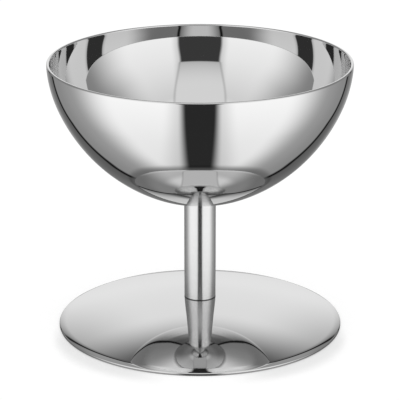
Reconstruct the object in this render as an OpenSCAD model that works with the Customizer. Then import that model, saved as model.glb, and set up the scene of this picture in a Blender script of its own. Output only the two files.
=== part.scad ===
// Footed dessert cup in polished stainless steel.
// A drawn bowl and a drawn domed foot are clamped on a tube stem. A stud welded under
// the bowl runs down inside the tube, and a washer, a spring washer and a thin nut
// pull the stack together in the hollow of the foot.
// Units are millimetres, +Z is up, and the origin is the centre of the resting plane.

/* [Bowl] */
// Outside diameter of the bowl at its lip
rim_d = 95; // [85:1:115]
// Sheet thickness of the bowl
bowl_t = 1; // [0.6:0.1:1.4]
// Outside radius of the round base of the bowl
base_r = 42.5; // [38:0.5:46]
// Angle from straight down at which the base turns into the side
base_angle = 26; // [20:1:32]
// Angle from straight down at which the side turns into the lip band
side_angle = 67.5; // [58:1:74]
// Outside radius of the curve of the lip band
lip_curve_r = 38.5; // [34:0.5:44]
// Angle from straight down at which the lip ends
lip_angle = 87; // [82:0.5:89]

/* [Stem] */
// Outside diameter of the stem tube
stem_d = 10; // [9.5:0.1:12]
// Wall of the stem tube
stem_wall = 1; // [0.8:0.1:1.2]
// Height on the axis from the top of the foot to the bottom of the bowl
stem_h = 32.3; // [24:0.05:60]
// Broken edge at the lower end of the tube, which reads as the seam
stem_edge = 0.2; // [0.1:0.05:0.3]

/* [Foot] */
// Diameter of the foot
foot_d = 90; // [76:1:110]
// Sheet thickness of the foot
foot_t = 1.2; // [0.9:0.1:1.5]
// Margin of the flat land that shows round the stem
land_margin = 0.15; // [0.1:0.05:0.5]
// Radius of the bend from the flat land into the dome
land_bend_r = 15; // [8:1:24]
// Slope of the bend where the crown of the dome begins, in degrees
land_slope = 1.6; // [1:0.1:4]
// Radius of the arc of the crown
crown_r = 100; // [70:1:130]
// Slope at which the crown turns into the skirt, in degrees
crown_slope = 7.5; // [5:0.1:9]
// Slope at which the skirt turns into the rolled rim, in degrees
skirt_slope = 19; // [14:0.1:22]
// Radius of the rolled rim
roll_r = 10.5; // [6:0.5:14]
// Slope at which the rolled rim ends, in degrees
roll_slope = 30; // [26:1:40]
// Round of the upper corner of the edge
edge_round = 0.5; // [0.3:0.05:0.6]
// Round of the lower corner of the edge
rest_round = 0.25; // [0.1:0.05:0.3]
// Width of the flat ring that the cup rests on
rest_w = 0.8; // [0.5:0.1:1.2]

/* [Fastening] */
// Thread diameter of the welded stud
stud_d = 5; // [4:0.5:5]
// Height of the welding flange of the stud
flange_h = 1.6; // [1.2:0.1:3]
// Length of the stud that shows below the nut
stud_out = 0.9; // [0.5:0.1:1.2]
// Height of the centring bush inside the tube
bush_h = 4; // [3:0.5:8]
// Wall of the bush where it passes through the foot
spigot_wall = 0.6; // [0.5:0.05:0.8]
// Thickness of the flat washer
washer_t = 1; // [0.8:0.1:1.2]
// Outside diameter of the flat washer
washer_d = 10; // [9:0.5:10]
// Thickness of the spring washer
spring_t = 1.2; // [1:0.1:1.3]
// Outside diameter of the spring washer
spring_d = 9.2; // [8.5:0.1:9.5]
// Width of the cut in the spring washer
spring_cut = 0.9; // [0.6:0.1:1.4]
// Width of the nut across its flats
nut_af = 8; // [7:0.5:8.5]
// Thickness of the thin nut
nut_t = 2.7; // [2.2:0.1:2.9]

/* [Hidden] */
$fn = 120;

// Running clearance between turned pieces, on the radius
fit_gap = 0.05;
// Clearance of a washer round the stud, on the radius
washer_gap = 0.15;
// Clearance between two curved faces that seat on each other
seat_gap = 0.02;
// Length by which the spigot stays above the underside of the foot
spigot_short = 0.2;
// Chamfer on the free end of the stud
stud_chamfer = 0.4;
// Overrun of every cut
overrun = 1;
// Longest chord along a wide arc
chord = 2;
// Largest turn of one chord round a corner, in degrees
chord_turn = 22.5;
// Least number of chords in an arc
arc_least = 3;
// Share of the nut's thickness that its corner chamfer takes
nut_chamfer_share = 0.12;
// Twist of the cut in the spring washer, in degrees
spring_skew = 20;

rim_r = rim_d / 2;
stem_r = stem_d / 2;
bore_r = stem_r - stem_wall;
foot_r = foot_d / 2;
stud_r = stud_d / 2;

// The foot's profile from the edge inwards: a rounded edge, a rolled rim, a long
// skirt arc, a crown arc and a short bend up to the flat land, all tangent
land_r = stem_r + land_margin;
crown_in_r = land_r + land_bend_r * sin(land_slope);
skirt_in_r = crown_in_r + crown_r * (sin(crown_slope) - sin(land_slope));
roll_out_r = foot_r - edge_round * (1 - sin(roll_slope));
roll_in_r = roll_out_r - roll_r * (sin(roll_slope) - sin(skirt_slope));
skirt_r = (roll_in_r - skirt_in_r) / (sin(skirt_slope) - sin(crown_slope));
rest_in_r = foot_r - rest_round - rest_w;
roll_x = roll_out_r - roll_r * sin(roll_slope);
rest_slope = asin((rest_in_r - roll_x) / (roll_r - foot_t));
roll_c = [roll_x, -(roll_r - foot_t) * cos(rest_slope)];
edge_c = roll_c + (roll_r - edge_round) * way(180 - roll_slope);
skirt_c = roll_c + (roll_r - skirt_r) * way(180 - skirt_slope);
crown_c = skirt_c + (skirt_r - crown_r) * way(180 - crown_slope);
bend_c = crown_c + (crown_r - land_bend_r) * way(180 - land_slope);
foot_h = bend_c.y + land_bend_r;

// The bowl's profile: base, side and lip band are arcs tangent to each other
pole_z = foot_h + stem_h;
lip_r = bowl_t / 2;
lip_mid_r = lip_curve_r - lip_r;
band_x = rim_r - lip_r - lip_mid_r * sin(lip_angle);
side_sin = sin(side_angle) - sin(base_angle);
side_r = (band_x - base_r * sin(base_angle) + lip_curve_r * sin(side_angle)) / side_sin;
base_c = [0, pole_z + base_r];
side_c = base_c + (base_r - side_r) * way(base_angle);
band_c = side_c + (side_r - lip_curve_r) * way(side_angle);
lip_c = band_c + lip_mid_r * way(lip_angle);
total_h = lip_c.y + lip_r;

// The clamped stack under the foot, from the top down
seat_z = foot_h - foot_t;
washer_z = seat_z - washer_t;
spring_z = washer_z - spring_t;
nut_z = spring_z - nut_t;
stud_z = nut_z - stud_out;
flange_z = pole_z - flange_h;
spigot_r = stud_r + fit_gap + spigot_wall;
foot_hole_r = spigot_r + fit_gap;

echo(total_h = total_h, foot_h = foot_h, pole_z = pole_z);
echo(side_r = side_r, skirt_r = skirt_r, stud_z = stud_z);

// Unit vector at an angle measured from straight down towards the outside
function way(angle) = [sin(angle), -cos(angle)];

// Number of chords in an arc: by length on a wide arc, by angle on a corner
function arc_steps(r, turn) = max(arc_least, ceil(turn * r * PI / 180 / chord), ceil(turn / chord_turn));

// Points along an arc from one angle to another, without its first point
function arc(centre, r, from, to) =
    let (steps = arc_steps(r, abs(to - from)))
    [for (i = [1:steps]) centre + r * way(from + (to - from) * i / steps)];

// The ball that the underside of the bowl is part of, with a seating clearance
module base_ball() {
    translate([0, 0, base_c.y])
        sphere(r = base_r + seat_gap, $fn = 240);
}

// The drawn bowl: three tangent arcs outside, a full round lip, and the same arcs
// one sheet thickness further in
module bowl() {
    color("gainsboro")
        rotate_extrude()
            polygon(concat(
                [[0, pole_z]],
                arc(base_c, base_r, 0, base_angle),
                arc(side_c, side_r, base_angle, side_angle),
                arc(band_c, lip_curve_r, side_angle, lip_angle),
                arc(lip_c, lip_r, lip_angle, lip_angle + 180),
                arc(band_c, lip_curve_r - bowl_t, lip_angle, side_angle),
                arc(side_c, side_r - bowl_t, side_angle, base_angle),
                arc(base_c, base_r - bowl_t, base_angle, 0)
            ));
}

// The stem tube, dished at the top to sit on the round base of the bowl
module stem_tube() {
    color("silver")
        difference() {
            rotate_extrude()
                polygon([
                    [bore_r, foot_h],
                    [stem_r - stem_edge, foot_h],
                    [stem_r, foot_h + stem_edge],
                    [stem_r, pole_z + overrun],
                    [bore_r, pole_z + overrun]
                ]);
            base_ball();
        }
}

// The drawn foot: a flat land for the stem, a bend, the crown, the skirt, the rolled
// rim over the flat resting ring, and the same arcs one thickness further in
module foot() {
    color("gainsboro")
        rotate_extrude()
            polygon(concat(
                [[foot_hole_r, seat_z], [foot_hole_r, foot_h], [land_r, foot_h]],
                arc(bend_c, land_bend_r, 180, 180 - land_slope),
                arc(crown_c, crown_r, 180 - land_slope, 180 - crown_slope),
                arc(skirt_c, skirt_r, 180 - crown_slope, 180 - skirt_slope),
                arc(roll_c, roll_r, 180 - skirt_slope, 180 - roll_slope),
                arc(edge_c, edge_round, 180 - roll_slope, 90),
                [[foot_r, rest_round]],
                arc([foot_r - rest_round, rest_round], rest_round, 90, 0),
                [[rest_in_r, 0]],
                arc(roll_c, roll_r - foot_t, 180 - rest_slope, 180 - skirt_slope),
                arc(skirt_c, skirt_r - foot_t, 180 - skirt_slope, 180 - crown_slope),
                arc(crown_c, crown_r - foot_t, 180 - crown_slope, 180 - land_slope),
                arc(bend_c, land_bend_r - foot_t, 180 - land_slope, 180)
            ));
}

// The threaded stud, whose flange is welded under the bowl and centres the tube
module weld_stud() {
    color("darkgray")
        difference() {
            rotate_extrude()
                polygon([
                    [0, stud_z],
                    [stud_r - stud_chamfer, stud_z],
                    [stud_r, stud_z + stud_chamfer],
                    [stud_r, flange_z],
                    [bore_r - fit_gap, flange_z],
                    [bore_r - fit_gap, pole_z + overrun],
                    [0, pole_z + overrun]
                ]);
            base_ball();
        }
}

// The stepped bush that centres the tube and the foot on the stud
module centring_bush() {
    color("darkgray")
        rotate_extrude()
            polygon([
                [stud_r + fit_gap, seat_z + spigot_short],
                [spigot_r, seat_z + spigot_short],
                [spigot_r, foot_h],
                [bore_r - fit_gap, foot_h],
                [bore_r - fit_gap, foot_h + bush_h],
                [stud_r + fit_gap, foot_h + bush_h]
            ]);
}

// A plain ring that stands on a height
module ring(outer_r, inner_r, thickness, height) {
    translate([0, 0, height])
        difference() {
            cylinder(r = outer_r, h = thickness);
            translate([0, 0, -overrun])
                cylinder(r = inner_r, h = thickness + 2 * overrun);
        }
}

// The flat washer against the underside of the foot
module flat_washer() {
    color("silver")
        ring(washer_d / 2, stud_r + washer_gap, washer_t, washer_z);
}

// The spring washer, drawn flat as it is when tight, with its slanted cut
module spring_washer() {
    color("dimgray")
        difference() {
            ring(spring_d / 2, stud_r + washer_gap, spring_t, spring_z);
            translate([stud_r, 0, spring_z + spring_t / 2])
                rotate([spring_skew, 0, 0])
                    translate([0, -spring_cut / 2, -spring_t])
                        cube([spring_d, spring_cut, 2 * spring_t]);
        }
}

// The thin nut, with its six corners chamfered top and bottom
module hex_nut() {
    corner_r = nut_af / 2 / cos(30);
    chamfer = nut_t * nut_chamfer_share;
    color("silver")
        translate([0, 0, nut_z])
            difference() {
                intersection() {
                    cylinder(r = corner_r, h = nut_t, $fn = 6);
                    rotate_extrude()
                        polygon([
                            [0, 0],
                            [nut_af / 2, 0],
                            [corner_r, chamfer],
                            [corner_r, nut_t - chamfer],
                            [nut_af / 2, nut_t],
                            [0, nut_t]
                        ]);
                }
                translate([0, 0, -overrun])
                    cylinder(r = stud_r + fit_gap, h = nut_t + 2 * overrun);
            }
}

bowl();
stem_tube();
foot();
weld_stud();
centring_bush();
flat_washer();
spring_washer();
hex_nut();
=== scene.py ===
# %% [markdown]
# # A footed dessert cup in mirror-polished steel
#
# This lesson dresses a small steel cup for a product picture. The cup is one drawn
# bowl, one tube stem and one domed foot, clamped together by a stud, a bush, two
# washers and a thin nut that hide under the foot. The fixed frame gives every piece
# at its real size, and nothing here moves or resizes it.
#
# Polished steel has almost no colour of its own. All that the eye sees is the room,
# bent by the curves of the sheet. So two things matter: surfaces that are smooth to a
# fraction of a degree, and a studio whose lights and dark gaps are in the right place.

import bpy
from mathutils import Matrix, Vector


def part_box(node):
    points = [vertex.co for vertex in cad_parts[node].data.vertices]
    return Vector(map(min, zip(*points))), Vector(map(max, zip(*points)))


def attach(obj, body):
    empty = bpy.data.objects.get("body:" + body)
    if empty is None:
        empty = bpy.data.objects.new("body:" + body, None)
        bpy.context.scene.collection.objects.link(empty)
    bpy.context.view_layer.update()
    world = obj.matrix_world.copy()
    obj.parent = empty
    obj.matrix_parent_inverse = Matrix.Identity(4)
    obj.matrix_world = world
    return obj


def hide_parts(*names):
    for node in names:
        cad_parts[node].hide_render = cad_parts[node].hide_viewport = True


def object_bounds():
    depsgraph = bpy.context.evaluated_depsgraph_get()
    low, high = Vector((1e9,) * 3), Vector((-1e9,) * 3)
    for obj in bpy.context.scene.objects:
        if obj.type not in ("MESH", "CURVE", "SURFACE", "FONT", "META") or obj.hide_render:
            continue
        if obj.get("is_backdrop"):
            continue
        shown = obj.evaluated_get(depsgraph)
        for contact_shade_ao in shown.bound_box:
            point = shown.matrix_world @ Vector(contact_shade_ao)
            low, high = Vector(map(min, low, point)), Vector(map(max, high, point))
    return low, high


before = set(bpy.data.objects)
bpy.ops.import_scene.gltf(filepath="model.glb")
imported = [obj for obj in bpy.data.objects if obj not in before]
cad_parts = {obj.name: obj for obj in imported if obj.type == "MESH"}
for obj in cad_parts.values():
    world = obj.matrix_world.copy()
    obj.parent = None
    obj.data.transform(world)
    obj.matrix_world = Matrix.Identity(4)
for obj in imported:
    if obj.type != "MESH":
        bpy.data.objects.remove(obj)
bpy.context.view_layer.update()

# %% Modules and units
import math
from collections import namedtuple

import bpy
from mathutils import Vector

MM = 0.001
TURN = 2 * math.pi

# %% [markdown]
# ## Sizes
#
# The curves of the sheet can't be read from a box, so they are repeated here as the
# maker's drawing has them, in millimetres and degrees. What can be read from the
# frame is read: the rim, the foot, the stem and the heights all come from the boxes
# of the nodes.

# %% Sizes of the cup
bowl_low, bowl_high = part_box("bowl")
_, foot_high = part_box("foot")
_, tube_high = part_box("stem_tube")

RIM_R = bowl_high.x / MM
POLE_Z = bowl_low.z / MM
FOOT_R = foot_high.x / MM
FOOT_H = foot_high.z / MM
STEM_R = tube_high.x / MM

BOWL_T = 1.0
BASE_R = 42.5
BASE_ANGLE = 26.0
SIDE_ANGLE = 67.5
LIP_CURVE_R = 38.5
LIP_ANGLE = 87.0
STEM_WALL = 1.0
STEM_EDGE = 0.2
FOOT_T = 1.2
LAND_R = STEM_R + 0.15
LAND_BEND_R = 15.0
LAND_SLOPE = 1.6
CROWN_R = 100.0
CROWN_SLOPE = 7.5
SKIRT_SLOPE = 19.0
ROLL_R = 10.5
ROLL_SLOPE = 30.0
EDGE_ROUND = 0.5
REST_ROUND = 0.25
REST_W = 0.8
FOOT_HOLE_R = 3.2
print("rim", round(RIM_R, 2), "foot", round(FOOT_R, 2), "stem", round(STEM_R, 2))
print("pole", round(POLE_Z, 2), "land", round(FOOT_H, 2))

# %% [markdown]
# ## Drawing a profile with the Spin tool
#
# A turned shape is half a section, swung round an axis. The section itself is made of
# arcs that run into each other without a corner, and Spin draws those too: one vertex
# is spun about the centre of the first arc, its last copy about the centre of the
# next, and so on. Typing a list of points would do, but the centres of the arcs are
# what a toolmaker sets, and they keep the surface tangent from arc to arc.

# %% Helpers for turned pieces
JOIN_WITHIN = 0.002 * MM
SHARP_FROM = math.radians(30)


def way(angle):
    """Unit vector (x, z) at an angle measured from straight down towards the outside."""
    return Vector((math.sin(math.radians(angle)), -math.cos(math.radians(angle))))


def only(piece):
    """Makes one object the selected and active one."""
    bpy.ops.object.select_all(action="DESELECT")
    piece.select_set(True)
    bpy.context.view_layer.objects.active = piece


def start_profile(name, x, z):
    """A plane is merged into one vertex, which is the start of a section."""
    bpy.ops.object.select_all(action="DESELECT")
    bpy.ops.mesh.primitive_plane_add(size=MM, location=(x * MM, 0, z * MM))
    piece = bpy.context.object
    piece.name = piece.data.name = name
    bpy.ops.object.transform_apply(location=True, rotation=True, scale=True)
    bpy.ops.object.mode_set(mode="EDIT")
    bpy.ops.mesh.select_mode(type="VERT")
    bpy.ops.mesh.select_all(action="SELECT")
    bpy.ops.mesh.merge(type="CENTER")
    return piece


def arc_to(centre, turn, steps):
    """Spins the last vertex about a centre. A positive turn goes outwards and up."""
    bpy.ops.mesh.spin(
        steps=steps,
        angle=math.radians(turn),
        center=(centre[0] * MM, 0, centre[1] * MM),
        axis=(0, 1, 0),
        use_auto_merge=False,
    )


def line_by(dx, dz, steps=1):
    """Extrudes the last vertex along a straight line."""
    for _ in range(steps):
        bpy.ops.mesh.extrude_vertices_move(
            TRANSFORM_OT_translate={"value": (dx * MM / steps, 0, dz * MM / steps)}
        )


def turn_round(piece, around):
    """Swings the section once round the Z axis and closes the seam and the poles."""
    bpy.ops.mesh.select_all(action="SELECT")
    bpy.ops.mesh.spin(steps=around, angle=TURN, center=(0, 0, 0), axis=(0, 0, 1))
    bpy.ops.mesh.select_all(action="SELECT")
    bpy.ops.mesh.remove_doubles(threshold=JOIN_WITHIN)
    bpy.ops.mesh.normals_make_consistent(inside=False)
    bpy.ops.object.mode_set(mode="OBJECT")
    only(piece)
    bpy.ops.object.shade_smooth_by_angle(angle=SHARP_FROM)
    print(piece.name, "has", len(piece.data.polygons), "faces")


# %% [markdown]
# ## The bowl
#
# The real bowl is drawn from a disc of sheet over a round punch, spun to shape, and
# its cut edge is rolled over a wheel until it is round. Outside it has three arcs: a
# round base, a slightly flatter side and a tighter band under the lip. The inside has
# the same centres, one sheet thickness further in. A subdivided cage could look like
# this, but its curvature wavers, and a mirror shows that as wobbling reflections.

# %% Make the bowl
AROUND = 320
LIP_R = BOWL_T / 2
LIP_MID_R = LIP_CURVE_R - LIP_R
band_x = RIM_R - LIP_R - LIP_MID_R * math.sin(math.radians(LIP_ANGLE))
sin_base = math.sin(math.radians(BASE_ANGLE))
sin_side = math.sin(math.radians(SIDE_ANGLE))
SIDE_R = (band_x - BASE_R * sin_base + LIP_CURVE_R * sin_side) / (sin_side - sin_base)
base_c = Vector((0, POLE_Z + BASE_R))
side_c = base_c + (BASE_R - SIDE_R) * way(BASE_ANGLE)
band_c = side_c + (SIDE_R - LIP_CURVE_R) * way(SIDE_ANGLE)
lip_c = band_c + LIP_MID_R * way(LIP_ANGLE)

# Centre, turn and steps of each arc, from the pole to the lip.
BOWL_ARCS = (
    (base_c, BASE_ANGLE, 26),
    (side_c, SIDE_ANGLE - BASE_ANGLE, 42),
    (band_c, LIP_ANGLE - SIDE_ANGLE, 22),
)

bowl = start_profile("polished_bowl", 0, POLE_Z)
for centre, turn, steps in BOWL_ARCS:
    arc_to(centre, turn, steps)
arc_to(lip_c, 180, steps=48)
for centre, turn, steps in reversed(BOWL_ARCS):
    arc_to(centre, -turn, steps)
turn_round(bowl, AROUND)
print("side arc", round(SIDE_R, 2), "mm; lip top at", round(lip_c.y + LIP_R, 2), "mm")

# %% [markdown]
# ## The foot
#
# The foot is the same kind of work: a flat land that the stem stands on, a short bend,
# a crown and a long skirt that are almost flat, and a rolled rim that bends down to an
# edge with two rounded corners. Each arc starts at the slope where the last one ends,
# so the reflections run on over the joints. Under the edge a narrow ring is ground
# flat, and that ring is all that touches the table.

# %% Make the foot
BEND_STEPS = 4
CROWN_STEPS = 18
SKIRT_STEPS = 40

slopes = (LAND_SLOPE, CROWN_SLOPE, SKIRT_SLOPE, ROLL_SLOPE)
sin_land, sin_crown, sin_skirt, sin_roll = (math.sin(math.radians(a)) for a in slopes)
skirt_in_r = LAND_R + LAND_BEND_R * sin_land + CROWN_R * (sin_crown - sin_land)
roll_in_r = FOOT_R - EDGE_ROUND * (1 - sin_roll) - ROLL_R * (sin_roll - sin_skirt)
SKIRT_R = (roll_in_r - skirt_in_r) / (sin_skirt - sin_crown)
bend_c = Vector((LAND_R, FOOT_H - LAND_BEND_R))
crown_c = bend_c - (CROWN_R - LAND_BEND_R) * way(180 - LAND_SLOPE)
skirt_c = crown_c - (SKIRT_R - CROWN_R) * way(180 - CROWN_SLOPE)
roll_c = skirt_c + (SKIRT_R - ROLL_R) * way(180 - SKIRT_SLOPE)
edge_c = roll_c + (ROLL_R - EDGE_ROUND) * way(180 - ROLL_SLOPE)
rest_in_r = FOOT_R - REST_ROUND - REST_W
rest_slope = math.degrees(math.asin((rest_in_r - roll_c.x) / (ROLL_R - FOOT_T)))

foot = start_profile("polished_foot", FOOT_HOLE_R, FOOT_H)
line_by(LAND_R - FOOT_HOLE_R, 0, steps=3)
arc_to(bend_c, -LAND_SLOPE, BEND_STEPS)
arc_to(crown_c, LAND_SLOPE - CROWN_SLOPE, CROWN_STEPS)
arc_to(skirt_c, CROWN_SLOPE - SKIRT_SLOPE, SKIRT_STEPS)
arc_to(roll_c, SKIRT_SLOPE - ROLL_SLOPE, steps=16)
arc_to(edge_c, ROLL_SLOPE - 90, steps=24)
line_by(0, REST_ROUND - edge_c.y)
arc_to((FOOT_R - REST_ROUND, REST_ROUND), -90, steps=12)
line_by(-REST_W, 0)
arc_to(roll_c, rest_slope - SKIRT_SLOPE, steps=12)
arc_to(skirt_c, SKIRT_SLOPE - CROWN_SLOPE, SKIRT_STEPS)
arc_to(crown_c, CROWN_SLOPE - LAND_SLOPE, CROWN_STEPS)
arc_to(bend_c, LAND_SLOPE, BEND_STEPS)
line_by(FOOT_HOLE_R - LAND_R, 0, steps=3)
line_by(0, FOOT_T)
turn_round(foot, AROUND)
print("skirt arc", round(SKIRT_R, 1), "mm; underside at the ring", round(roll_c.y, 3))

# %% [markdown]
# ## The stem
#
# The stem is a length of tube. Its upper end is dished to sit on the round base of
# the bowl, and its lower edge is broken by a hair. That and a painted shade in its
# finish make the thin dark line where it stands on the foot.

# %% Make the stem
def base_height(r):
    """Height of the bowl's round underside at a distance from the axis."""
    return POLE_Z + BASE_R - math.sqrt(BASE_R**2 - r**2)


stem_in_r = STEM_R - STEM_WALL
stem = start_profile("polished_stem", stem_in_r, FOOT_H)
line_by(STEM_WALL - STEM_EDGE, 0)
line_by(STEM_EDGE, STEM_EDGE)
line_by(0, base_height(STEM_R) - FOOT_H - STEM_EDGE, steps=12)
line_by(-STEM_WALL, base_height(stem_in_r) - base_height(STEM_R))
line_by(0, FOOT_H - base_height(stem_in_r), steps=12)
turn_round(stem, AROUND)

# %% [markdown]
# ## The stud
#
# The stud is what holds the cup together. It is turned from bar, its flange is welded
# to the pole of the bowl and centres the tube, and its thread comes out under the nut.
# Rings would look like a thread from far off, but a thread is a helix. So a V-shaped
# tool is swept along one by the Screw modifier, and a Boolean takes it out of the
# blank, which is how a lathe cuts it.

# %% Helpers for cut pieces
def heights(node):
    """Lowest and highest point of a node of the frame, in millimetres."""
    low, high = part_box(node)
    return low.z / MM, high.z / MM


def cut(piece, tool, operation="DIFFERENCE"):
    """Applies one Boolean and throws the tool away."""
    only(piece)
    step = piece.modifiers.new("cut", "BOOLEAN")
    step.operation = operation
    step.solver = "EXACT"
    step.object = tool
    bpy.ops.object.modifier_apply(modifier=step.name)
    bpy.data.objects.remove(tool)
    only(piece)
    bpy.ops.object.shade_smooth_by_angle(angle=SHARP_FROM)
    print(piece.name, "cut to", len(piece.data.polygons), "faces")


# %% Make the stud
STUD_R = 2.5
STUD_CHAMFER = 0.4
FLANGE_R = 3.95
FLANGE_H = 1.6
FLANGE_EDGE = 0.15
SEAT_GAP = 0.02
SMALL_AROUND = 96

stud_z, _ = heights("weld_stud")
seat_ball = BASE_R + SEAT_GAP
flange_z = POLE_Z - FLANGE_H
flange_top = base_c.y - math.sqrt(seat_ball**2 - FLANGE_R**2)

stud = start_profile("threaded_stud", 0, stud_z)
line_by(STUD_R - STUD_CHAMFER, 0)
line_by(STUD_CHAMFER, STUD_CHAMFER)
line_by(0, flange_z - stud_z - STUD_CHAMFER)
line_by(FLANGE_R - FLANGE_EDGE - STUD_R, 0)
line_by(FLANGE_EDGE, FLANGE_EDGE)
line_by(0, flange_top - flange_z - FLANGE_EDGE)
arc_to(base_c, -math.degrees(math.asin(FLANGE_R / seat_ball)), steps=6)
turn_round(stud, SMALL_AROUND)

# %% Cut the thread
PITCH = 0.8
THREAD_DEPTH = 0.45
ROOT_FLAT = 0.2
TOOL_HALF = 0.35
TOOL_OUT = 0.06
FLANK_ANGLE = 30
THREAD_TURNS = 17
STEPS_PER_TURN = 40
END_SIDES = 8

# The tool reaches out of the stud a little, so the cut leaves no skin on it.
slope_out = TOOL_OUT * math.tan(math.radians(FLANK_ANGLE))
flank = TOOL_HALF - ROOT_FLAT / 2
tool_z = stud_z - PITCH - TOOL_HALF - slope_out

tool = start_profile("thread_tool", STUD_R + TOOL_OUT, tool_z)
line_by(-THREAD_DEPTH - TOOL_OUT, flank + slope_out)
line_by(0, ROOT_FLAT)
line_by(THREAD_DEPTH + TOOL_OUT, flank + slope_out)
bpy.ops.mesh.select_all(action="SELECT")
bpy.ops.mesh.edge_face_add()
bpy.ops.object.mode_set(mode="OBJECT")
only(tool)
helix = tool.modifiers.new("helix", "SCREW")
helix.axis = "Z"
helix.angle = TURN
helix.screw_offset = PITCH * MM
helix.iterations = THREAD_TURNS
helix.steps = helix.render_steps = STEPS_PER_TURN
bpy.ops.object.modifier_apply(modifier=helix.name)
bpy.ops.object.mode_set(mode="EDIT")
bpy.ops.mesh.select_all(action="SELECT")
bpy.ops.mesh.fill_holes(sides=END_SIDES)
bpy.ops.mesh.select_all(action="SELECT")
bpy.ops.mesh.normals_make_consistent(inside=False)
bpy.ops.object.mode_set(mode="OBJECT")
cut(stud, tool)

# %% [markdown]
# ## The bush, the washers and the nut
#
# The bush is turned, and a small step on it centres the foot. The flat washer is
# punched, so one of its edges is rolled over by the die. The spring washer is wound
# from wire and has a slanted cut. The nut is a slice of hexagon bar whose corners are
# taken off in a lathe. Each is drawn as it is made: a section turned round the axis,
# and then a Boolean for what isn't round.

# %% Make the bush and the flat washer
FIT_GAP = 0.05
WASHER_GAP = 0.15
SPIGOT_WALL = 0.6
SPIGOT_SHORT = 0.2
SMALL_EDGE = 0.12
DIE_ROLL = 0.25
WASHER_R = 5.0

_, bush_top = heights("centring_bush")
bush_in_r = STUD_R + FIT_GAP
spigot_r = bush_in_r + SPIGOT_WALL
seat_z = FOOT_H - FOOT_T

bush = start_profile("turned_bush", bush_in_r, seat_z + SPIGOT_SHORT)
line_by(SPIGOT_WALL - SMALL_EDGE, 0)
line_by(SMALL_EDGE, SMALL_EDGE)
line_by(0, FOOT_T - SPIGOT_SHORT - SMALL_EDGE)
line_by(FLANGE_R - spigot_r, 0)
line_by(0, bush_top - FOOT_H - SMALL_EDGE)
line_by(-SMALL_EDGE, SMALL_EDGE)
line_by(bush_in_r + SMALL_EDGE - FLANGE_R, 0)
line_by(0, seat_z + SPIGOT_SHORT - bush_top)
turn_round(bush, SMALL_AROUND)

washer_z, _ = heights("flat_washer")
washer_in_r = STUD_R + WASHER_GAP
washer = start_profile("punched_washer", washer_in_r, washer_z + SMALL_EDGE)
line_by(0, seat_z - washer_z - SMALL_EDGE)
line_by(WASHER_R - washer_in_r, 0)
line_by(0, washer_z + DIE_ROLL - seat_z)
arc_to((WASHER_R - DIE_ROLL, washer_z + DIE_ROLL), -90, steps=8)
line_by(washer_in_r + SMALL_EDGE - WASHER_R + DIE_ROLL, 0)
line_by(-SMALL_EDGE, SMALL_EDGE)
turn_round(washer, SMALL_AROUND)

# %% Make the spring washer
SPRING_R = 4.6
SPRING_CUT = 0.9
SPRING_SKEW = 20
SPRING_ROUND = 0.2

spring_z, _ = heights("spring_washer")
wire_in, wire_out = washer_in_r + SPRING_ROUND, SPRING_R - SPRING_ROUND
wire_low, wire_top = spring_z + SPRING_ROUND, washer_z - SPRING_ROUND

spring = start_profile("split_washer", washer_in_r, wire_low)
line_by(0, wire_top - wire_low)
arc_to((wire_in, wire_top), -90, steps=5)
line_by(wire_out - wire_in, 0)
arc_to((wire_out, wire_top), -90, steps=5)
line_by(0, wire_low - wire_top)
arc_to((wire_out, wire_low), -90, steps=5)
line_by(wire_in - wire_out, 0)
arc_to((wire_in, wire_low), -90, steps=5)
turn_round(spring, SMALL_AROUND)

bpy.ops.object.select_all(action="DESELECT")
bpy.ops.mesh.primitive_cube_add(
    size=1,
    location=((STUD_R + SPRING_R) / 2 * MM, 0, (spring_z + washer_z) / 2 * MM),
    rotation=(math.radians(SPRING_SKEW), 0, 0),
    scale=(SPRING_R * MM, SPRING_CUT * MM, 2 * (washer_z - spring_z) * MM),
)
bpy.ops.object.transform_apply(location=True, rotation=True, scale=True)
cut(spring, bpy.context.object)

# %% Make the nut
NUT_FLATS = 8.0
NUT_CORNER = 0.12
NUT_COUNTERSINK = 0.3
BAR_OVER = 1.2
HEX_HALF = math.radians(30)

nut_z, nut_top = heights("hex_nut")
nut_t = nut_top - nut_z
face_r = NUT_FLATS / 2
corner_r = face_r / math.cos(HEX_HALF)
corner_drop = nut_t * NUT_CORNER

lathe_part = start_profile("turned_nut", bush_in_r, nut_z + NUT_COUNTERSINK)
line_by(0, nut_t - 2 * NUT_COUNTERSINK)
line_by(NUT_COUNTERSINK, NUT_COUNTERSINK)
line_by(face_r - bush_in_r - NUT_COUNTERSINK, 0)
line_by(corner_r - face_r, -corner_drop)
line_by(0, 2 * corner_drop - nut_t)
line_by(face_r - corner_r, -corner_drop)
line_by(bush_in_r + NUT_COUNTERSINK - face_r, 0)
line_by(-NUT_COUNTERSINK, NUT_COUNTERSINK)
turn_round(lathe_part, SMALL_AROUND)

bpy.ops.object.select_all(action="DESELECT")
bpy.ops.mesh.primitive_cylinder_add(
    vertices=6,
    radius=corner_r * MM,
    depth=nut_t * MM * BAR_OVER,
    location=(0, 0, (nut_z + nut_top) / 2 * MM),
    rotation=(0, 0, HEX_HALF),
)
bpy.ops.object.transform_apply(location=True, rotation=True, scale=True)
nut = bpy.context.object
nut.name = nut.data.name = "chamfered_nut"
cut(nut, lathe_part, "INTERSECT")

# %% [markdown]
# ## The camera
#
# The picture was taken a little from above with a long lens, which keeps the near and
# the far side of the rim almost the same size. Where the camera stood follows from the
# ellipses of the rim and the foot and from the outline. Moving it about by eye would
# come close, but both ellipses have to open by the right amount at the same time, so
# its place is worked out and kept.

# %% Camera
PHOTO_SIDE = 400
FOCAL_PX = 2203.2
CAMERA_BACK = 0.65895
CAMERA_UP = 0.26191
CAMERA_PITCH = 18.527
SENSOR = 36.0
CLIP_NEAR = 0.01
CLIP_FAR = 20.0

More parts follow.
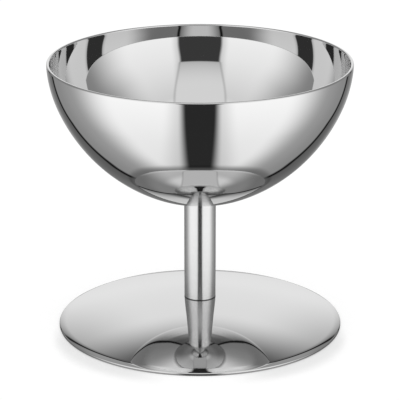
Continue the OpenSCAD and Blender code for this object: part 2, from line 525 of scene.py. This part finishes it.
bpy.ops.object.camera_add(location=(0, -CAMERA_BACK, CAMERA_UP))
camera = bpy.context.object
camera.name = "camera"
camera.rotation_euler = (math.radians(90 - CAMERA_PITCH), 0, 0)
camera.data.sensor_width = SENSOR
camera.data.lens = FOCAL_PX * SENSOR / PHOTO_SIDE
camera.data.clip_start = CLIP_NEAR
camera.data.clip_end = CLIP_FAR
bpy.context.scene.camera = camera
print("lens", round(camera.data.lens, 1), "mm,", round(CAMERA_BACK / MM), "mm from the axis")

# %% [markdown]
# ## Helpers for shader nodes
#
# Shaders and the studio are sums of small terms. Wiring each Math node by hand would
# bury the idea, so a value is written as a link, and short helpers add the nodes.

# %% Node helpers
class Nodes:
    """Adds nodes to one tree. A value is a socket or a plain number."""

    def __init__(self, tree):
        self.tree = tree
        tree.nodes.clear()

    def add(self, kind, **settings):
        """A new node of a kind, with its settings."""
        node = self.tree.nodes.new(kind)
        for name, value in settings.items():
            setattr(node, name, value)
        return node

    def put(self, value, socket):
        """Sets a socket to a number or links another socket to it."""
        if isinstance(value, (int, float, tuple)):
            socket.default_value = value
        else:
            self.tree.links.new(value, socket)

    def math(self, operation, *values, clamp=False):
        """The result of one Math node."""
        node = self.add("ShaderNodeMath", operation=operation, use_clamp=clamp)
        for value, socket in zip(values, node.inputs):
            self.put(value, socket)
        return node.outputs[0]

    def smooth(self, value, low, high, at_low=0.0, at_high=1.0):
        """Goes from at_low to at_high with a soft start and a soft end."""
        node = self.add("ShaderNodeMapRange", interpolation_type="SMOOTHSTEP")
        for name, part in (
            ("Value", value),
            ("From Min", low),
            ("From Max", high),
            ("To Min", at_low),
            ("To Max", at_high),
        ):
            self.put(part, node.inputs[name])
        return node.outputs[0]

    def blend(self, share, first, second):
        """first where share is 0, second where it is 1."""
        node = self.add("ShaderNodeMix", data_type="FLOAT")
        self.put(share, node.inputs[0])
        self.put(first, node.inputs[2])
        self.put(second, node.inputs[3])
        return node.outputs[0]


# %% [markdown]
# ## The studio
#
# The cup was shot in a light tent, and the steel shows where its parts are. Two tall
# softboxes stand left and right and go on below the level of the glass table. Between
# them is the dark gap that the camera looks through, with a pale panel over it. Behind
# the cup is a white sweep, and a thin seam shows on each side where it meets the
# softbox. Lamps and cards could be hung one by one, but the tent is all round and far
# away, so a world that is a function of direction alone holds it in one place.

# %% Directions in the studio
# A ramp is where it starts and where it ends, and then its value at either end.
MAIN_PART = (-18.0, 4.0, 0.0, 1.0)
TOP_PART = (30.0, 50.0, 0.0, 1.0)

world = bpy.data.worlds.new("light_tent")
bpy.context.scene.world = world
world.use_nodes = True
sky = Nodes(world.node_tree)

# Azimuth is 0 towards the camera and 180 behind the cup. Height is 90 overhead.
where = sky.add("ShaderNodeTexCoord")
axes = sky.add("ShaderNodeSeparateXYZ")
sky.put(where.outputs["Generated"], axes.inputs[0])
aside = sky.math("ABSOLUTE", axes.outputs["X"])
ahead = sky.math("MULTIPLY", axes.outputs["Y"], -1.0)
azimuth = sky.math("DEGREES", sky.math("ARCTAN2", aside, ahead))
height = sky.math("DEGREES", sky.math("ARCSINE", axes.outputs["Z"]))
above = sky.smooth(height, *MAIN_PART)
high = sky.smooth(height, *TOP_PART)
print("studio nodes so far:", len(sky.tree.nodes))

# %% Softboxes left and right
SOFTBOX_PEAK = 1.36
SOFTBOX_PEAK_HEIGHT = -20.0
SOFTBOX_FADE = 0.0048
SOFTBOX_SPREAD = 24.0
SOFTBOX_TOP = (22.0, 60.0, 1.0, 0.85)
SOFTBOX_OVERHEAD = (50.0, 60.0, 1.0, 1.45)
MIDDLE_LOW = (-72.0, -50.0, 98.0, 93.0)
MIDDLE_MAIN = (18.0, 34.0, 82.0, 76.0)
DIM_LOW = (108.0, 140.0, 0.45, 0.33)
DIM_MAIN = (85.0, 115.0, 0.38, 0.30)
DIM_TOP = 0.42

# Each softbox is brightest at one height and loses light up and down from there.
off_peak = sky.math("ABSOLUTE", sky.math("SUBTRACT", height, SOFTBOX_PEAK_HEIGHT))
peak = sky.math("SUBTRACT", SOFTBOX_PEAK, sky.math("MULTIPLY", off_peak, SOFTBOX_FADE))
peak = sky.math("MULTIPLY", peak, sky.smooth(height, *SOFTBOX_TOP))
peak = sky.math("MULTIPLY", peak, sky.smooth(height, *SOFTBOX_OVERHEAD))

# Towards the back it falls off to the dim wall of the tent.
middle = sky.blend(above, sky.smooth(height, *MIDDLE_LOW), sky.smooth(height, *MIDDLE_MAIN))
dim = sky.blend(above, sky.smooth(azimuth, *DIM_LOW), sky.smooth(azimuth, *DIM_MAIN))
dim = sky.blend(high, dim, DIM_TOP)
falloff = sky.smooth(sky.math("SUBTRACT", azimuth, middle), -SOFTBOX_SPREAD, SOFTBOX_SPREAD)
sides = sky.blend(falloff, peak, dim)
print("softboxes: brightest", SOFTBOX_PEAK, "at", SOFTBOX_PEAK_HEIGHT, "degrees")

# %% The gap for the camera
GAP_LEAN = 0.113
GAP_LOW = 0.118
GAP_MAIN = (8.0, 26.0, 0.190, 0.166)
GAP_BLUR_LOW, GAP_BLUR_MAIN = 0.105, 0.050
GAP_LEVEL_LOW, GAP_LEVEL_MAIN = 0.03, 0.055
GAP_EDGE = (-0.5, 0.5, 0.0, 0.75)
GAP_HALO = (0.1, 2.2, 0.0, 0.25)

gap_line = sky.math("SUBTRACT", aside, sky.math("MULTIPLY", ahead, GAP_LEAN))
gap_middle = sky.blend(above, GAP_LOW, sky.smooth(height, *GAP_MAIN))
gap_width = sky.blend(above, GAP_BLUR_LOW, GAP_BLUR_MAIN)
gap_step = sky.math("DIVIDE", sky.math("SUBTRACT", gap_line, gap_middle), gap_width)
gap_edge = sky.math("ADD", sky.smooth(gap_step, *GAP_EDGE), sky.smooth(gap_step, *GAP_HALO))
gap_level = sky.blend(above, GAP_LEVEL_LOW, GAP_LEVEL_MAIN)
front = sky.blend(gap_edge, gap_level, sides)
print("studio nodes so far:", len(sky.tree.nodes))

# %% The panel over the camera
PANEL_FROM = 27.0
PANEL_FADE = 18.0
PANEL_LEVEL = 0.93
PANEL_LOSS = 0.33
PANEL_POWER = 2.0
PANEL_BOTTOM = (26.2, 27.6, 0.0, 1.0)
PANEL_HALF = (24.0, 50.0, 0.268, 0.320)
PANEL_EDGE = (-0.008, 0.008, 1.0, 0.0)
PANEL_SEAM_AT = 0.002
PANEL_SEAM = (0.0, 0.028, 0.24, 0.0)

up_panel = sky.math("DIVIDE", sky.math("SUBTRACT", height, PANEL_FROM), PANEL_FADE, clamp=True)
fade = sky.math("POWER", sky.math("SUBTRACT", 1.0, up_panel), PANEL_POWER)
loss = sky.math("MULTIPLY", fade, PANEL_LOSS)
panel_level = sky.math("SUBTRACT", PANEL_LEVEL, loss)
over_bottom = sky.smooth(height, *PANEL_BOTTOM)
past_half = sky.math("SUBTRACT", aside, sky.smooth(height, *PANEL_HALF))
in_panel = sky.math("MULTIPLY", over_bottom, sky.smooth(past_half, *PANEL_EDGE))
front = sky.blend(in_panel, front, panel_level)

# A soft dark seam runs up each side of the panel.
off_seam = sky.math("ABSOLUTE", sky.math("SUBTRACT", past_half, PANEL_SEAM_AT))
panel_seam = sky.math("MULTIPLY", over_bottom, sky.smooth(off_seam, *PANEL_SEAM))
front = sky.math("MULTIPLY", front, sky.math("SUBTRACT", 1.0, panel_seam))
print("studio nodes so far:", len(sky.tree.nodes))

# %% The sweep behind the cup
LOW_BACK = (145.0, 165.0, 0.14, 0.19)
REAR_TOP = (-32.0, -18.0, 0.0, 1.0)
REAR_GLOW = (150.0, 175.0, 0.06, 0.26)
SWEEP_BOTTOM = (-15.0, -9.0, 0.0, 1.0)
SWEEP_RISE = (-20.0, 12.0, 0.80, 1.02)
SWEEP_END = (34.0, 57.4, 1.0, 0.0)
SWEEP_ACROSS = (141.0, 171.0, 0.0, 1.0)
SWEEP_SIDE = 0.15
TENT_SEAM_AT = 147.1
TENT_SEAM_LEAN = 0.118
TENT_SEAM_STEP = (-1.0, 1.0, 0.0, 1.0)
TENT_SEAM = (0.6, 3.6, 0.04, 1.0)

rear_glow = sky.math("MULTIPLY", sky.smooth(height, *REAR_TOP), sky.smooth(azimuth, *REAR_GLOW))
low_back = sky.math("ADD", sky.smooth(azimuth, *LOW_BACK), rear_glow)
sweep = sky.math("MULTIPLY", sky.smooth(height, *SWEEP_RISE), sky.smooth(height, *SWEEP_END))
sweep = sky.blend(sky.smooth(azimuth, *SWEEP_ACROSS), SWEEP_SIDE, sweep)
back = sky.blend(sky.smooth(height, *SWEEP_BOTTOM), low_back, sweep)

# The seam stands upright above the table and leans forward below it.
seam_lean = sky.math("MULTIPLY", sky.math("MINIMUM", height, 0.0), TENT_SEAM_LEAN)
from_seam = sky.math("SUBTRACT", azimuth, sky.math("ADD", TENT_SEAM_AT, seam_lean))
tent = sky.blend(sky.smooth(from_seam, *TENT_SEAM_STEP), front, back)
tent = sky.math("MULTIPLY", tent, sky.smooth(sky.math("ABSOLUTE", from_seam), *TENT_SEAM))
print("studio nodes so far:", len(sky.tree.nodes))

# %% Light the world
# The bowl sees itself many times over near the lip, so gloss gets more bounces.
GLOSS_BOUNCES = 12

path = sky.add("ShaderNodeLightPath")
shine = sky.add("ShaderNodeBackground")
shine.inputs["Color"].default_value = (1, 1, 1, 1)
sky.put(sky.blend(path.outputs["Is Glossy Ray"], 1.0, tent), shine.inputs["Strength"])
end = sky.add("ShaderNodeOutputWorld")
sky.put(shine.outputs[0], end.inputs["Surface"])
world.cycles.sampling_method = "NONE"
bpy.context.scene.cycles.glossy_bounces = GLOSS_BOUNCES
bpy.context.scene.view_settings.view_transform = "Standard"
print("studio nodes:", len(world.node_tree.nodes))

# %% [markdown]
# ## The table
#
# The table is a plain white sheet. In the picture it is as white as the backdrop, and
# only a faint shade gathers round the foot. The steel sees more of that shade than the
# camera does: close to the edge of the foot the table is dark, and a few millimetres
# further out it is part of the tent again. So the camera gets a white floor that takes
# shadows and has a painted shade close to the foot, and a reflected ray passes through it,
# dimmed by a painted shade near the foot and lit by a faint painted glow at its edge.
#
# The softboxes also leave a soft shade in front of the foot on either side, which a
# plain world can't cast, so it is added by its place on the table. Seen from below the
# table isn't there at all, so the underside can be looked at.

# %% Make the table
FLOOR_SIDE = 6.0
FLOOR_DROP = 0.02 * MM

bpy.ops.object.select_all(action="DESELECT")
bpy.ops.mesh.primitive_plane_add(size=FLOOR_SIDE, location=(0, 0, -FLOOR_DROP))
floor = bpy.context.object
floor.name = "floor"
floor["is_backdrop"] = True

table = bpy.data.materials.new("white_table")
table.use_nodes = True
sheet = Nodes(table.node_tree)
spot = sheet.add("ShaderNodeTexCoord")
point = sheet.add("ShaderNodeSeparateXYZ")
sheet.put(spot.outputs["Object"], point.inputs[0])
distance = sheet.add("ShaderNodeVectorMath", operation="LENGTH")
sheet.put(spot.outputs["Object"], distance.inputs[0])
outward = distance.outputs["Value"]
beyond = sheet.math("SUBTRACT", outward, FOOT_R * MM)
print("table:", FLOOR_SIDE, "m wide")

# %% The table for the camera
TABLE_GREY = 0.3
CONTACT_SHADE_REACH = 7 * MM
CONTACT_SHADE_SAMPLES = 8
CONTACT_SHADE_GLOW = (0.4, 1.0, 0.60, 0.74)
SHADE_SIDE = (0.15, 0.50, 0.0, 1.0)
SHADE_FRONT = (0.05, 0.45, 0.0, 1.0)
SHADE_REACH = (0.0, 0.8, 2 * MM, 10 * MM)
SHADE_DEPTH = (0.3, 1.0, 0.17, 0.0)

# Painted contact shade: the glow that makes the table white is turned down where ambient
# occlusion finds the foot close.
contact_shade_ao = sheet.add("ShaderNodeAmbientOcclusion", samples=CONTACT_SHADE_SAMPLES)
contact_shade_ao.inputs["Distance"].default_value = CONTACT_SHADE_REACH
level = sheet.smooth(contact_shade_ao.outputs["AO"], *CONTACT_SHADE_GLOW)

to_side = sheet.math("ABSOLUTE", sheet.math("DIVIDE", point.outputs["X"], outward))
to_front = sheet.math("DIVIDE", point.outputs["Y"], sheet.math("MULTIPLY", outward, -1.0))
shaded = sheet.math(
    "MULTIPLY",
    sheet.smooth(to_side, *SHADE_SIDE),
    sheet.smooth(to_front, *SHADE_FRONT),
)
share = sheet.math("DIVIDE", beyond, sheet.smooth(to_front, *SHADE_REACH))
shade = sheet.math("MULTIPLY", shaded, sheet.smooth(share, *SHADE_DEPTH))

lit = sheet.add("ShaderNodeBsdfDiffuse")
lit.inputs["Color"].default_value = (TABLE_GREY, TABLE_GREY, TABLE_GREY, 1)
glow = sheet.add("ShaderNodeEmission")
sheet.put(sheet.math("SUBTRACT", level, shade), glow.inputs["Strength"])
white = sheet.add("ShaderNodeAddShader")
sheet.put(lit.outputs[0], white.inputs[0])
sheet.put(glow.outputs[0], white.inputs[1])
print("table nodes so far:", len(sheet.tree.nodes))

# %% The table for the steel
UNDER_FOOT = (-2 * MM, -0.5 * MM, 1.0, 0.0)
SHADE_NEAR_FOOT = (0.0, 8 * MM, 0.25, 1.0)
PAINTED_GLOW_NEAR_FOOT = (0.0, 5 * MM, 0.10, 0.0)

# Painted shade and glow for the steel: the tent shows through the table, darkened in a band
# round the edge of the foot and clear again under it, and a faint painted glow is added near
# the edge.
dimmed = sheet.add("ShaderNodeBsdfTransparent")
through = sheet.math(
    "MAXIMUM",
    sheet.smooth(beyond, *SHADE_NEAR_FOOT),
    sheet.smooth(beyond, *UNDER_FOOT),
)
sheet.put(through, dimmed.inputs["Color"])
bounce = sheet.add("ShaderNodeEmission")
sheet.put(sheet.smooth(beyond, *PAINTED_GLOW_NEAR_FOOT), bounce.inputs["Strength"])
mirrored = sheet.add("ShaderNodeAddShader")
sheet.put(dimmed.outputs[0], mirrored.inputs[0])
sheet.put(bounce.outputs[0], mirrored.inputs[1])
print("table nodes so far:", len(sheet.tree.nodes))

# %% Join the two
ray = sheet.add("ShaderNodeLightPath")
either = sheet.add("ShaderNodeMixShader")
sheet.put(ray.outputs["Is Glossy Ray"], either.inputs[0])
sheet.put(white.outputs[0], either.inputs[1])
sheet.put(mirrored.outputs[0], either.inputs[2])

gone = sheet.add("ShaderNodeBsdfTransparent")
side = sheet.add("ShaderNodeNewGeometry")
shown = sheet.add("ShaderNodeMixShader")
sheet.put(side.outputs["Backfacing"], shown.inputs[0])
sheet.put(either.outputs[0], shown.inputs[1])
sheet.put(gone.outputs[0], shown.inputs[2])
end = sheet.add("ShaderNodeOutputMaterial")
sheet.put(shown.outputs[0], end.inputs["Surface"])
floor.data.materials.append(table)
print("table nodes:", len(table.node_tree.nodes))

# %% [markdown]
# ## Polished steel
#
# Sheet steel is buffed on a wheel while it spins, so every mark that is left runs
# round the axis. A picture of brushed metal can't follow a bowl, and a plain noise has
# no direction. So the noise reads the distance from the axis, the height and, much
# more coarsely, the way round, which stretches every mark into a ring without a seam.

# %% Helpers for steel
# The way round has no value on the axis, so nothing divides by less than this.
AXIS_CLEAR = 0.01 * MM
Place = namedtuple("Place", "across up east north")


def steel(name, base, roughness):
    """One metal shader. Returns its nodes, its shader and its material."""
    material = bpy.data.materials.new(name)
    material.use_nodes = True
    made = Nodes(material.node_tree)
    shader = made.add("ShaderNodeBsdfPrincipled")
    shader.inputs["Base Color"].default_value = (base, base, base, 1)
    shader.inputs["Metallic"].default_value = 1.0
    shader.inputs["Roughness"].default_value = roughness
    end = made.add("ShaderNodeOutputMaterial")
    made.put(shader.outputs[0], end.inputs["Surface"])
    return made, shader, material


def coat(material, *pieces):
    """Gives one finish to some pieces."""
    for piece in pieces:
        piece.data.materials.append(material)
    print(material.name, "on", len(pieces), "piece(s):", len(material.node_tree.nodes), "nodes")


def turned_place(made):
    """Distance from the axis and height in mm, and the direction from the axis."""
    spot = made.add("ShaderNodeTexCoord")
    part = made.add("ShaderNodeSeparateXYZ")
    made.put(spot.outputs["Object"], part.inputs[0])
    x, y, z = part.outputs
    squares = made.math("ADD", made.math("MULTIPLY", x, x), made.math("MULTIPLY", y, y))
    across = made.math("SQRT", squares)
    safe = made.math("MAXIMUM", across, AXIS_CLEAR)
    return Place(
        across=made.math("DIVIDE", across, MM),
        up=made.math("DIVIDE", z, MM),
        east=made.math("DIVIDE", x, safe),
        north=made.math("DIVIDE", y, safe),
    )


def ring_noise(made, place, per_mm, per_turn, detail, seed):
    """Noise stretched round the axis: per_mm marks across, a few per turn along."""
    spread = made.add("ShaderNodeCombineXYZ")
    for value, rate, socket in (
        (place.east, per_turn, spread.inputs[0]),
        (place.north, per_turn, spread.inputs[1]),
        (place.across, per_mm, spread.inputs[2]),
    ):
        made.put(made.math("MULTIPLY", value, rate), socket)
    noise = made.add("ShaderNodeTexNoise", noise_dimensions="4D")
    made.put(spread.outputs[0], noise.inputs["Vector"])
    made.put(made.math("MULTIPLY_ADD", place.up, per_mm, seed), noise.inputs["W"])
    noise.inputs["Scale"].default_value = 1.0
    noise.inputs["Detail"].default_value = detail
    return noise.outputs[0]


def raise_by(made, height, microns, normal=None):
    """A bump whose full height is given in thousandths of a millimetre."""
    bump = made.add("ShaderNodeBump")
    bump.inputs["Strength"].default_value = 1.0
    bump.inputs["Distance"].default_value = microns * MM / 1000
    made.put(height, bump.inputs["Height"])
    if normal is not None:
        made.put(normal, bump.inputs["Normal"])
    return bump.outputs[0]


def grey(made, level, socket):
    """Puts one brightness on all three channels of a colour."""
    join = made.add("ShaderNodeCombineColor")
    for channel in join.inputs:
        made.put(level, channel)
    made.put(join.outputs[0], socket)


def upward(made):
    """How far a surface faces up: 1 towards the sky, -1 towards the floor."""
    face = made.add("ShaderNodeTexCoord")
    part = made.add("ShaderNodeSeparateXYZ")
    made.put(face.outputs["Normal"], part.inputs[0])
    return part.outputs["Z"]


# %% [markdown]
# ## The finish of the bowl and the foot
#
# Both are buffed to a mirror. A few hair-fine rings of the buff are left, and they make
# the gloss vary a little. Where fingers and cloths rub, at the lip and at the edge of
# the foot, the polish is duller. Under the foot nobody buffs: the sheet keeps its satin
# finish with the rings of the spinning tool, and the ring that it stands on is ground.
#
# The outside of the bowl also keeps slow waves from spinning, and a mirror doubles
# them. How strong they are is a guess from the way the reflections bend. As a shape
# they would move the outline, which is right without them, so they are drawn as a turn
# of the shading by distance from the axis.

# %% The mirror polish
MIRROR_BASE = 0.68
MIRROR_ROUGH = 0.015
RING_GLOSS = (0.40, 0.75, MIRROR_ROUGH, MIRROR_ROUGH + 0.012)
HAZE_GLOSS = (0.50, 0.80, 0.0, 0.015)
WORN_ROUGH = 0.05
WORN_DULL = 0.03


def polish(made, place, edge):
    """Gloss that varies in faint rings and is duller at a rubbed edge."""
    rings = ring_noise(made, place, per_mm=1.6, per_turn=1.2, detail=5.0, seed=3.0)
    haze = ring_noise(made, place, per_mm=0.12, per_turn=1.6, detail=2.0, seed=11.0)
    rough = made.math("ADD", made.smooth(rings, *RING_GLOSS), made.smooth(haze, *HAZE_GLOSS))
    rubbed = made.math("MULTIPLY", edge, rings)
    rough = made.math("MULTIPLY_ADD", rubbed, WORN_ROUGH, rough)
    level = made.math("SUBTRACT", MIRROR_BASE, made.math("MULTIPLY", edge, WORN_DULL))
    return rings, rough, level


print("mirror polish: brightness", MIRROR_BASE, "and roughness", MIRROR_ROUGH)

# %% Gloss of the bowl
LIP_WEAR_FROM = 0.7
LIP_WEAR_FULL = 0.1
lip_z = bowl_high.z / MM

made, shader, bowl_steel = steel("mirror_polished_bowl", MIRROR_BASE, MIRROR_ROUGH)
place = turned_place(made)
at_lip = made.smooth(place.up, lip_z - LIP_WEAR_FROM, lip_z - LIP_WEAR_FULL)
rings, rough, level = polish(made, place, at_lip)
made.put(rough, shader.inputs["Roughness"])
grey(made, level, shader.inputs["Base Color"])
print("bowl nodes so far:", len(made.tree.nodes))

# %% Waves of the bowl
# Distance from the axis in mm, and how many degrees the outside turns there.
WAVES = (
    (0, 0.0),
    (5, 1.3),
    (12, 3.4),
    (19, 0.4),
    (25, -1.1),
    (30, 0.5),
    (34, 2.6),
    (36.5, 2.0),
    (39, 0.6),
    (42, 0.0),
    (47.5, 0.0),
)
WAVE_REACH = 50.0
WAVE_MOST = 5.0
OUTSIDE = (-0.12, -0.02, 1.0, 0.0)
BUFF_DEPTH = 0.04

wave = made.add("ShaderNodeFloatCurve")
line = wave.mapping.curves[0]
for index, (r, degrees) in enumerate(WAVES):
    at = (r / WAVE_REACH, 0.5 + degrees / WAVE_MOST / 2)
    if index == 0:
        line.points[0].location = at
    elif index == len(WAVES) - 1:
        line.points[1].location = at
    else:
        line.points.new(*at)
wave.mapping.update()
made.put(made.math("DIVIDE", place.across, WAVE_REACH), wave.inputs["Value"])
lean_degrees = made.math("MULTIPLY_ADD", wave.outputs[0], 2 * WAVE_MOST, -WAVE_MOST)
outside = made.smooth(upward(made), *OUTSIDE)
lean_by = made.math("MULTIPLY", made.math("RADIANS", lean_degrees), outside)

# The cross product of the normal and the way round points up the section, and the
# normal leans that way.
surface = made.add("ShaderNodeNewGeometry")
around = made.add("ShaderNodeCombineXYZ")
made.put(made.math("MULTIPLY", place.north, -1.0), around.inputs[0])
made.put(place.east, around.inputs[1])
uphill = made.add("ShaderNodeVectorMath", operation="CROSS_PRODUCT")
made.put(surface.outputs["Normal"], uphill.inputs[0])
made.put(around.outputs[0], uphill.inputs[1])
lean = made.add("ShaderNodeVectorMath", operation="SCALE")
made.put(uphill.outputs[0], lean.inputs[0])
made.put(lean_by, lean.inputs["Scale"])
waved = made.add("ShaderNodeVectorMath", operation="ADD")
made.put(surface.outputs["Normal"], waved.inputs[0])
made.put(lean.outputs[0], waved.inputs[1])
waved_one = made.add("ShaderNodeVectorMath", operation="NORMALIZE")
made.put(waved.outputs[0], waved_one.inputs[0])
buffed = raise_by(made, rings, BUFF_DEPTH, waved_one.outputs[0])
made.put(buffed, shader.inputs["Normal"])
coat(bowl_steel, bowl)

# %% Finish of the foot
EDGE_WEAR_FROM = 1.0
EDGE_WEAR_FULL = 0.1
UNDERSIDE = (-0.30, -0.10, 1.0, 0.0)
GROUND_RING = (0.03, 0.08, 1.0, 0.0)
GROUND_ROUGH = 0.14
SATIN_ROUGH = (0.3, 0.7, 0.24, 0.36)
SATIN_TONE = (0.3, 0.7, 0.54, 0.64)
SPIN_DEPTH = 3.0
BUFF_SHARE = 0.006

made, shader, foot_steel = steel("mirror_polished_foot", MIRROR_BASE, MIRROR_ROUGH)
place = turned_place(made)
at_edge = made.smooth(place.across, FOOT_R - EDGE_WEAR_FROM, FOOT_R - EDGE_WEAR_FULL)
rings, rough, level = polish(made, place, at_edge)

under = made.smooth(upward(made), *UNDERSIDE)
on_ring = made.math("MULTIPLY", under, made.smooth(place.up, *GROUND_RING))
tool_rings = ring_noise(made, place, per_mm=3.5, per_turn=0.7, detail=4.0, seed=23.0)
satin = made.smooth(tool_rings, *SATIN_ROUGH)
satin = made.math("MULTIPLY_ADD", on_ring, GROUND_ROUGH, satin)
satin_tone = made.smooth(tool_rings, *SATIN_TONE)

made.put(made.blend(under, rough, satin), shader.inputs["Roughness"])
grey(made, made.blend(under, level, satin_tone), shader.inputs["Base Color"])
relief = made.blend(under, made.math("MULTIPLY", rings, BUFF_SHARE), tool_rings)
made.put(raise_by(made, relief, SPIN_DEPTH), shader.inputs["Normal"])
coat(foot_steel, foot)

# %% [markdown]
# ## The finish of the stem
#
# The tube is polished in a lathe with a belt, and its fine rings smear every
# reflection up and down. That is why the stem shows only tall stripes and no picture
# of the foot. The shader's own anisotropy does this, with a tangent that runs round
# the axis. In the joint at its lower end the colour is darker: a hair of polish stays
# there, together with a painted hair of shade.

# %% Finish of the stem
STEM_BASE = 0.70
STEM_ROUGH = 0.25
BELT_ROUGH = (0.3, 0.7, STEM_ROUGH - 0.01, STEM_ROUGH + 0.01)
BELT_TONE = (0.3, 0.7, STEM_BASE - 0.015, STEM_BASE + 0.015)
STEM_SMEAR = 0.95
QUARTER_TURN = 0.25
SEAM_SHADE_AND_POLISH = 0.35
SEAM_H = 0.26
SEAM_SOFT = 0.3 * SEAM_H

made, shader, stem_steel = steel("ring_polished_stem", STEM_BASE, STEM_ROUGH)
shader.inputs["Anisotropic"].default_value = STEM_SMEAR
shader.inputs["Anisotropic Rotation"].default_value = QUARTER_TURN
grain = made.add("ShaderNodeTangent", direction_type="RADIAL", axis="Z")
made.put(grain.outputs[0], shader.inputs["Tangent"])

place = turned_place(made)
belt = ring_noise(made, place, per_mm=4.0, per_turn=0.8, detail=4.0, seed=31.0)
made.put(made.smooth(belt, *BELT_ROUGH), shader.inputs["Roughness"])
tone = made.smooth(belt, *BELT_TONE)
# The joint is painted darker: polish that stays in it, and a painted hair of shade.
seam_z = FOOT_H + SEAM_H
seam = made.smooth(place.up, seam_z - SEAM_SOFT, seam_z + SEAM_SOFT, SEAM_SHADE_AND_POLISH, 1.0)
grey(made, made.math("MULTIPLY", tone, seam), shader.inputs["Base Color"])
coat(stem_steel, stem)

# %% [markdown]
# ## The finish of the small parts
#
# The stud, the bush, the flat washer and the nut are bright turned steel, with tool
# rings that are coarse for their size, and a darker tone towards the root of the thread.
# The spring washer is rolled spring steel, which is darker and mottled.

# %% Finish of the turned parts
TURNED_ROUGH = (0.3, 0.7, 0.22, 0.38)
TURNED_TONE = (0.3, 0.7, 0.56, 0.64)
TURNED_DEPTH = 4.0
THREAD_ROOT = STUD_R - THREAD_DEPTH
ROOT_DARKER = (THREAD_ROOT, STUD_R - 0.1, 0.45, 1.0)
CORE_UNDARKENED = (THREAD_ROOT - 0.4, THREAD_ROOT, 1.0, 0.0)

made, shader, fastener_steel = steel("turned_fastener_steel", base=0.6, roughness=0.3)
place = turned_place(made)
tool_rings = ring_noise(made, place, per_mm=7.0, per_turn=0.6, detail=4.0, seed=41.0)
made.put(made.smooth(tool_rings, *TURNED_ROUGH), shader.inputs["Roughness"])
# The colour gets darker towards the root of the thread and goes back to the plain tone inside
# it.
root_tone = made.math(
    "MAXIMUM",
    made.smooth(place.across, *ROOT_DARKER),
    made.smooth(place.across, *CORE_UNDARKENED),
)
tone = made.smooth(tool_rings, *TURNED_TONE)
grey(made, made.math("MULTIPLY", tone, root_tone), shader.inputs["Base Color"])
made.put(raise_by(made, tool_rings, TURNED_DEPTH), shader.inputs["Normal"])
coat(fastener_steel, stud, bush, washer, nut)

# %% Finish of the spring washer
MOTTLE_SCALE = 900
MOTTLE_DETAIL = 4
MOTTLE_ROUGH = (0.35, 0.65, 0.30, 0.50)
MOTTLE_TONE = (0.35, 0.65, 0.34, 0.50)
MOTTLE_DEPTH = 8.0

made, shader, spring_steel = steel("rolled_spring_steel", base=0.42, roughness=0.4)
spot = made.add("ShaderNodeTexCoord")
mottle = made.add("ShaderNodeTexNoise")
made.put(spot.outputs["Object"], mottle.inputs["Vector"])
mottle.inputs["Scale"].default_value = MOTTLE_SCALE
mottle.inputs["Detail"].default_value = MOTTLE_DETAIL
made.put(made.smooth(mottle.outputs[0], *MOTTLE_ROUGH), shader.inputs["Roughness"])
grey(made, made.smooth(mottle.outputs[0], *MOTTLE_TONE), shader.inputs["Base Color"])
made.put(raise_by(made, mottle.outputs[0], MOTTLE_DEPTH), shader.inputs["Normal"])
coat(spring_steel, spring)

# %% [markdown]
# ## The pieces on the body
#
# The nut clamps everything, so the cup is one rigid body and every piece rides on its
# root. Each piece takes the place of the plain solid of its node. The pieces were drawn
# where they stand in the real cup, so none is moved.

# %% Put the pieces on the body
for piece, node, slot in (
    (bowl, "bowl", "bowl_steel"),
    (foot, "foot", "foot_steel"),
    (stem, "stem_tube", "stem_steel"),
    (stud, "weld_stud", "fastener_steel"),
    (bush, "centring_bush", "fastener_steel"),
    (washer, "flat_washer", "fastener_steel"),
    (spring, "spring_washer", "spring_steel"),
    (nut, "hex_nut", "fastener_steel"),
):
    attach(piece, "root")
    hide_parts(node)
    print(piece.name, "stands for", node)

# %% [markdown]
# ## The last look at the size
#
# The box of the dressed cup is printed before the end, in millimetres.

# %% Finish
low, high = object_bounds()
print("visual box in mm:", [round((b - a) / MM, 2) for a, b in zip(low, high)])
